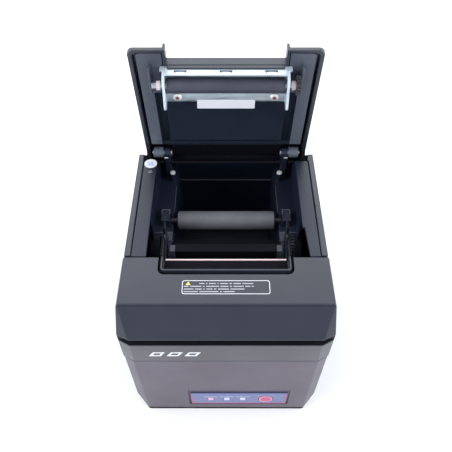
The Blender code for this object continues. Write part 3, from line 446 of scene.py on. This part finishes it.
def finer(name, width, corner=CORNER_ANGLE):
    """A copy of a CAD node with rounded edges, which stands for the node."""
    source = NODES[name]
    bm = bmesh.new()
    bm.from_mesh(source.data)
    round_edges(bm, width, corner)
    for across in SPLITS.get(name, []):
        bmesh.ops.bisect_plane(bm, geom=bm.verts[:] + bm.edges[:] + bm.faces[:], dist=1e-7,
                               plane_co=(across * MM, 0.0, 0.0), plane_no=(1.0, 0.0, 0.0))
    mesh = finished(bm, name + "_fine")
    obj = bpy.data.objects.new(name + "_fine", mesh)
    bpy.context.scene.collection.objects.link(obj)
    obj.matrix_world = source.matrix_world
    mesh.materials.append(FINISH_OF[name])
    for face in mesh.polygons:
        face.use_smooth = True
    for finish, *limits in reversed(OTHER_FACES.get(name, [])):
        if finish.name not in mesh.materials:
            mesh.materials.append(finish)
        for face in mesh.polygons:
            if all(in_box(mesh.vertices[index].co, *limits) for index in face.vertices):
                face.material_index = mesh.materials.find(finish.name)
    weighted_shading(obj)
    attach(obj, source["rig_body"])
    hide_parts(name)


def block_mesh(name, x, y, z, width=0.0):
    """A block between two limits in millimetres on each axis; a width rounds its edges."""
    bm = bmesh.new()
    bmesh.ops.create_cube(bm, size=1.0)
    size = [(high - low) * MM for low, high in (x, y, z)]
    centre = Vector([(high + low) / 2 * MM for low, high in (x, y, z)])
    bm.transform(Matrix.Translation(centre) @ Matrix.Diagonal((*size, 1.0)))
    if width:
        round_edges(bm, width, CORNER_ANGLE)
    return finished(bm, name)


def revolved(name, profile, centre, steps=96):
    """A turned shape along X. Its profile is (radius, x) in millimetres and closes on itself."""
    bm = bmesh.new()
    rings = []
    for step in range(steps):
        angle = 2.0 * math.pi * step / steps
        ring = [bm.verts.new((x * MM, (centre[0] + radius * math.cos(angle)) * MM,
                              (centre[1] + radius * math.sin(angle)) * MM)) for radius, x in profile]
        rings.append(ring)
    count = len(profile)
    for step in range(steps):
        here, after = rings[step], rings[(step + 1) % steps]
        for i in range(count):
            j = (i + 1) % count
            bm.faces.new((here[i], here[j], after[j], after[i]))
    bmesh.ops.recalc_face_normals(bm, faces=bm.faces)
    for edge in bm.edges:
        edge.smooth = edge.calc_face_angle(0.0) < math.radians(CORNER_ANGLE + SHADING_MARGIN)
    return finished(bm, name)


def outline_mesh(name, outline, low, high):
    """An outline on X and Y made thick along Z."""
    bm = bmesh.new()
    loops = [[bm.verts.new((x * MM, y * MM, z * MM)) for x, y in outline] for z in (low, high)]
    bm.faces.new(loops[0])
    bm.faces.new(list(reversed(loops[1])))
    count = len(outline)
    for i in range(count):
        j = (i + 1) % count
        bm.faces.new((loops[0][j], loops[0][i], loops[1][i], loops[1][j]))
    bmesh.ops.recalc_face_normals(bm, faces=bm.faces)
    return finished(bm, name)


# How far each piece's edges are rounded.
ROUNDING = {
    "lower_case": 0.8, "upper_case": 0.7, "front_cover": 0.5, "lid_shell": 0.5, "lid_inner": 0.3,
    "bay_frame": 0.4, "platen_bracket": 0.25, "bracket_tab": 0.25, "roller_holder_left": 0.5,
    "roller_holder_right": 0.5, "release_button": 0.5, "power_switch": 0.4, "switch_bezel": 0.4,
    "connector_recess": 0.4, "mechanism_frame": 0.2, "cutter_cover": 0.2, "cutter_frame": 0.2,
    "tear_bar": 0.2, "latch_hooks": 0.15, "print_head": 0.2, "paper_guide": 0.2,
    "lan_port": 0.2, "usb_port": 0.2, "dc_inlet": 0.3, "drawer_port": 0.3, "port_panel": 0.15,
    "control_label": 0.15,
}
# Pieces on which a shallower turn is still a real corner.
SHALLOW_CORNERS = {"front_cover": 19.0}
for name, width in ROUNDING.items():
    finer(name, width, corner=SHALLOW_CORNERS.get(name, CORNER_ANGLE))


def span_of(name):
    """A CAD node's limits in millimetres on X, Y and Z."""
    low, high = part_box(name)
    return [(low[i] / MM, high[i] / MM) for i in range(3)]


def finer_roller(name, bore, chamfer):
    """A smooth round roller with softened ends, which stands for the CAD node."""
    x, y, z = span_of(name)
    centre = ((y[0] + y[1]) / 2, (z[0] + z[1]) / 2)
    radius = (z[1] - z[0]) / 2
    profile = [(bore, x[0]), (radius - chamfer, x[0]), (radius - chamfer * 0.3, x[0] + chamfer * 0.3),
               (radius, x[0] + chamfer), (radius, x[1] - chamfer),
               (radius - chamfer * 0.3, x[1] - chamfer * 0.3), (radius - chamfer, x[1]), (bore, x[1])]
    obj = add_object(name + "_fine", revolved(name + "_fine", profile, centre), FINISH_OF[name],
                     NODES[name]["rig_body"])
    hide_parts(name)


finer_roller("platen_roller", 2.8, 0.6)
finer_roller("guide_roller", 2.6, 0.8)


# -------------------------------------------------------------------------------- added details

HINGE = Vector(HINGE_PLACE) * MM
LID_TURN = Matrix.Translation(HINGE) @ Matrix.Rotation(math.radians(-LID_OPENING), 4, "X")


def marks(name, meshes, finish, body, turn=None):
    """Join several meshes into one added piece."""
    bm = bmesh.new()
    for mesh in meshes:
        bm.from_mesh(mesh)
        bpy.data.meshes.remove(mesh)
    if turn:
        bm.transform(turn)
    mesh = finished(bm, name)
    obj = add_object(name, mesh, finish, body)
    for face in mesh.polygons:
        face.use_smooth = False
    return obj


def rounded_corners(x, y, radius, steps=4):
    """Corners of a rounded rectangle, in order round it."""
    points = []
    left, right, low, high = x[0] + radius, x[1] - radius, y[0] + radius, y[1] - radius
    corners = ((right, high, 0), (left, high, 90), (left, low, 180), (right, low, 270))
    for centre_x, centre_y, start in corners:
        for step in range(steps + 1):
            angle = math.radians(start + 90.0 * step / steps)
            points.append((centre_x + radius * math.cos(angle), centre_y + radius * math.sin(angle)))
    return points


def band(name, outer, inner, low, high, axis="Z"):
    """A flat closed band between two outlines with the same number of points."""
    bm = bmesh.new()
    rings = []
    for outline, along in ((outer, low), (outer, high), (inner, high), (inner, low)):
        place = [(x, y, along) if axis == "Z" else (x, along, y) for x, y in outline]
        rings.append([bm.verts.new(Vector(point) * MM) for point in place])
    count = len(outer)
    for here, after in zip(rings, rings[1:] + rings[:1]):
        for i in range(count):
            j = (i + 1) % count
            bm.faces.new((here[i], here[j], after[j], after[i]))
    bmesh.ops.recalc_face_normals(bm, faces=bm.faces)
    return finished(bm, name)


def mirrored(side, near, far):
    """Limits on X between two distances from the middle, on one side of the printer."""
    return sorted((side * near, side * far))


def add_badge():
    """Three slanted open bars on the strip under the hood's groove."""
    bars = []
    for start in (-52.8, -40.6, -28.4):
        outer = [(start, 103.2), (start + 8.0, 103.2), (start + 11.4, 109.0), (start + 3.4, 109.0)]
        inner = [(start + 2.5, 104.5), (start + 7.3, 104.5), (start + 8.9, 107.7), (start + 4.1, 107.7)]
        bars.append(band("bar", outer, inner, -95.12, -94.6, "Y"))
    marks("badge_bars", bars, WHITE_INK, "hood")


# Rules on the hood's notice: the row's place on Y, where it starts on X, and the rules' lengths.
RULE_ROWS = {
    -61.2: (-17.8, [3.4, 1.0, 4.6, 0.8, 5.4, 1.6, 5.0, 7.2]),
    -63.4: (-28.0, [3.0, 7.6, 1.2, 8.6, 5.2, 1.4, 6.8, 3.4, 1.2]),
    -65.5: (-28.0, [6.4, 4.6, 1.0, 4.0, 1.6, 7.4, 9.2]),
    -67.5: (-28.0, [9.4, 12.6, 1.4, 7.2]),
}


def add_hood_label():
    """Blank notice printed on the hood: a white frame, a yellow triangle and plain grey rules."""
    outer = rounded_corners((-29.3, 29.3), (-69.4, -58.7), 1.6)
    inner = rounded_corners((-28.85, 28.85), (-68.95, -59.15), 1.2)
    ink = (HOOD_TOP - 0.2, HOOD_TOP + 0.06)
    marks("notice_frame", [band("frame", outer, inner, *ink)], WHITE_INK, "hood")
    triangle = outline_mesh("triangle", [(-27.0, -62.4), (-23.6, -62.4), (-25.3, -59.7)], *ink)
    marks("notice_triangle", [triangle], YELLOW_INK, "hood")
    rules = []
    gap = 1.0
    for place, (start, lengths) in RULE_ROWS.items():
        row = (place - 0.36, place + 0.36)
        for length in lengths:
            rules.append(block_mesh("rule", (start, start + length), row, (HOOD_TOP - 0.2, HOOD_TOP + 0.05)))
            start += length + gap
    marks("notice_rules", rules, GREY_INK, "hood")


def add_panel_print():
    """Magenta border, plain pale bars over the lights and a pale ring round the key."""
    x, y, z = span_of("control_label")
    ink = (y[0] - 0.08, y[0] + 0.2)
    upright = (z[0] + 0.1, z[1] - 0.4)
    left = block_mesh("border", (x[0] + 0.1, x[0] + 1.0), ink, upright)
    right = block_mesh("border", (x[1] - 1.0, x[1] - 0.1), ink, upright)
    low = block_mesh("border", (x[0] + 1.0, x[1] - 1.0), ink, (z[0] + 0.1, z[0] + 1.3))
    marks("panel_border", [left, right, low], MAGENTA, "root")
    bars = [block_mesh("bar", span, ink, (25.4, 27.0)) for span in ((-17.8, -6.9), (-5.0, 6.6), (8.3, 19.1))]
    marks("panel_bars", bars, PALE_INK, "root")
    ring = band("ring", circle(KEY_CENTRE, 5.5, 40), circle(KEY_CENTRE, 4.5, 40), -94.85, -94.2, "Y")
    marks("key_ring", [ring], KEY_RING, "feed_key")


def circle(centre, radius, count):
    """Points round a circle on a plane."""
    angles = [2.0 * math.pi * step / count for step in range(count)]
    return [(centre[0] + radius * math.cos(a), centre[1] + radius * math.sin(a)) for a in angles]


def ribbon(points, width, low, high):
    """A thin stroke through points on X and Y."""
    left, right = [], []
    for i, (x, y) in enumerate(points):
        before, after = points[max(i - 1, 0)], points[min(i + 1, len(points) - 1)]
        along = Vector((after[0] - before[0], after[1] - before[1])).normalized() * width / 2
        left.append((x - along.y, y + along.x))
        right.append((x + along.y, y - along.x))
    return outline_mesh("stroke", left + list(reversed(right)), low, high)


def add_sticker_marks():
    """A wavy pen stroke and a line under it on the round sticker."""
    x, y, z = span_of("check_sticker")
    cx, cy, top = (x[0] + x[1]) / 2, (y[0] + y[1]) / 2, z[1]
    loop = [(cx - 2.6 + 0.55 * t, cy + 1.5 * math.sin(1.25 * t)) for t in range(10)]
    line = [(cx - 3.0, cy - 2.2), (cx + 0.4, cy - 1.7), (cx + 3.0, cy - 2.3)]
    ink = (top - 0.05, top + 0.06)
    marks("sticker_pen", [ribbon(loop, 0.55, *ink), ribbon(line, 0.45, *ink)], BLUE_INK, "root")


def add_screw_paint():
    """A dab of thread lock in each bracket screw."""
    for name, side in SIDES:
        disc = circle((side * BRACKET_SCREW[0], BRACKET_SCREW[1]), 1.3, 20)
        marks("thread_lock_" + name, [outline_mesh("dab", disc, -11.2, -10.7)], THREAD_LOCK, "lid",
              LID_TURN)


def add_slot_shade_blocks():
    """Black blocks behind the three slots in the bracket's web: painted shade for the hollow there."""
    shade_blocks = [block_mesh("back", (centre - 4.6, centre + 4.6), (-89.15, -88.8), (-6.4, -3.2))
             for centre in BRACKET_SLOTS]
    marks("slot_shade_blocks", shade_blocks, BLACK_AND_SHADE, "lid", LID_TURN)


def add_hinge_clips():
    """Steel retaining rings on the hinge pins."""
    for name, side in SIDES:
        profile = [(1.7, side * 50.42), (3.3, side * 50.42), (3.3, side * 50.86), (1.7, side * 50.86)]
        add_object("hinge_clip_" + name, revolved("hinge_clip_" + name, profile, HINGE_PLACE[1:], 40), STEEL,
                   "root")


def add_bay_plates():
    """Thin cover plates at the front of the roller platforms, each with a light strip on its folded edge as a
    painted highlight.
    """
    thin = (PLATFORM_TOP - 0.02, PLATFORM_TOP + 0.15)
    folded = (PLATFORM_TOP - 0.02, PLATFORM_TOP + 0.3)
    for name, side in SIDES:
        plate = block_mesh("plate", mirrored(side, 41.6, 48.6), (-2.8, 1.6), thin, 0.06)
        tongue = block_mesh("tongue", mirrored(side, 41.6, 44.6), (-6.6, -2.8), thin, 0.06)
        # Painted highlight: a light strip on the folded edge.
        edge = block_mesh("edge", mirrored(side, 41.6, 56.0), (1.6, 2.0), folded, 0.06)
        marks("bay_plate_" + name, [plate, tongue], BAY_PLATE, "root")
        marks("bay_plate_edge_" + name, [edge], EDGE_HIGHLIGHT, "root")


def add_bay_highlights():
    """Painted highlights inside the bay: light lines on a lip of the bucket's rear wall, strips along the
    platforms and rims on the roller holders.
    """
    lines = [block_mesh("lip", (-41.3, 41.3), (82.7, 83.7), (91.7, 92.2), 0.05)]
    on_platform = (PLATFORM_TOP - 0.02, PLATFORM_TOP + 0.1)
    for _, side in SIDES:
        lines.append(block_mesh("strip", mirrored(side, 41.5, 41.8), (22.5, 52.0), on_platform, 0.03))
    for name in ("roller_holder_left", "roller_holder_right"):
        x, y, z = span_of(name)
        top = (z[1] - 0.05, z[1] + 0.12)
        lines.append(block_mesh("rim", (x[0] + 0.3, x[1] - 0.3), (y[1] - 1.0, y[1] - 0.4), top, 0.04))
        for edge in (x[0] + 0.3, x[1] - 0.9):
            lines.append(block_mesh("rim", (edge, edge + 0.6), (y[1] - 5.0, y[1] - 1.0), top, 0.04))
    marks("bay_highlight_lines", lines, EDGE_HIGHLIGHT, "root")
    # Painted glints: near-white blocks on the hinge posts.
    glint_blocks = [block_mesh("stop", mirrored(side, 47.4, 50.4), (61.1, 61.5), (139.8, 140.9), 0.08)
             for _, side in SIDES]
    marks("hinge_glint_blocks", glint_blocks, SCREW_AND_GLINT, "root")


def add_head_caps():
    """Grey end covers on the print head's top and front faces."""
    for name, side in SIDES:
        x = mirrored(side, 37.0, 40.7)
        top = block_mesh("top", x, (-27.9, -22.6), (132.95, 133.12), 0.05)
        front = block_mesh("front", x, (-28.12, -27.95), (118.5, 133.12), 0.05)
        marks("head_cap_" + name, [top, front], BAY_PLATE, "head")


def add_port_contacts():
    """Contacts inside the sockets at the back."""
    for name, middle, count, z in (("network_contacts", 12.0, 8, (19.6, 20.4)),
                                   ("drawer_contacts", 38.0, 6, (18.6, 19.4))):
        pins = []
        for i in range(count):
            x = middle + 1.27 * (i - (count - 1) / 2)
            pins.append(block_mesh("pin", (x - 0.3, x + 0.3), (75.0, 83.0), z))
        marks(name, pins, GOLD, "root")


add_badge()
add_hood_label()
add_panel_print()
add_sticker_marks()
add_screw_paint()
add_slot_shade_blocks()
add_hinge_clips()
add_bay_plates()
add_bay_highlights()
add_head_caps()
add_port_contacts()


# ---------------------------------------------------------------------------- stage and camera

bm = bmesh.new()
bmesh.ops.create_grid(bm, x_segments=2, y_segments=2, size=FLOOR_HALF)
floor_mesh = finished(bm, "floor")
floor = bpy.data.objects.new("floor", floor_mesh)
bpy.context.scene.collection.objects.link(floor)
floor_finish = material("floor_paper", (0.86, 0.86, 0.87), 0.9, specular=0.1)
floor_mesh.materials.append(floor_finish)


def studio_world():
    """White tent: brightest behind the printer and above, darker round the camera."""
    world = bpy.data.worlds.new("studio")
    bpy.context.scene.world = world
    world.use_nodes = True
    background = world.node_tree.nodes["Background"]
    place = world.node_tree.nodes.new("ShaderNodeTexCoord")
    toward = world.node_tree.nodes.new("ShaderNodeVectorMath")
    toward.operation = "DOT_PRODUCT"
    toward.inputs[1].default_value = TENT_DARK_SIDE
    ranged = world.node_tree.nodes.new("ShaderNodeMapRange")
    ranged.interpolation_type = "SMOOTHSTEP"
    for key, value in (("From Min", 0.55), ("From Max", 1.0), ("To Min", TENT_BRIGHT), ("To Max", TENT_DARK)):
        ranged.inputs[key].default_value = value
    world.node_tree.links.new(place.outputs["Generated"], toward.inputs[0])
    world.node_tree.links.new(toward.outputs["Value"], ranged.inputs["Value"])
    world.node_tree.links.new(ranged.outputs["Result"], background.inputs["Strength"])
    background.inputs["Color"].default_value = TENT_COLOUR


studio_world()


def softbox(name, place, size, power):
    """A rectangular lamp aimed at the printer."""
    light = bpy.data.lights.new(name, "AREA")
    light.shape = "RECTANGLE"
    light.size, light.size_y = size
    light.energy = power
    obj = bpy.data.objects.new(name, light)
    bpy.context.scene.collection.objects.link(obj)
    obj.location = place
    obj.rotation_euler = (LIGHT_AIM - Vector(place)).to_track_quat("-Z", "Y").to_euler()


softbox("left_light", (-1.3, -0.5, 1.0), (0.7, 0.9), 16.0)
softbox("right_light", (1.3, -0.5, 1.0), (0.7, 0.9), 12.5)
softbox("back_light", (0.0, 1.1, 1.4), (1.4, 0.6), 6.2)

camera_data = bpy.data.cameras.new("camera")
camera_data.lens = CAMERA_LENS
camera_data.sensor_width = CAMERA_SENSOR
camera_data.clip_start = 0.01
camera = bpy.data.objects.new("camera", camera_data)
bpy.context.scene.collection.objects.link(camera)
camera.location = CAMERA_PLACE
camera.rotation_euler = (math.radians(CAMERA_TILT), 0.0, 0.0)
bpy.context.scene.camera = camera
bpy.context.scene.view_settings.view_transform = "Standard"
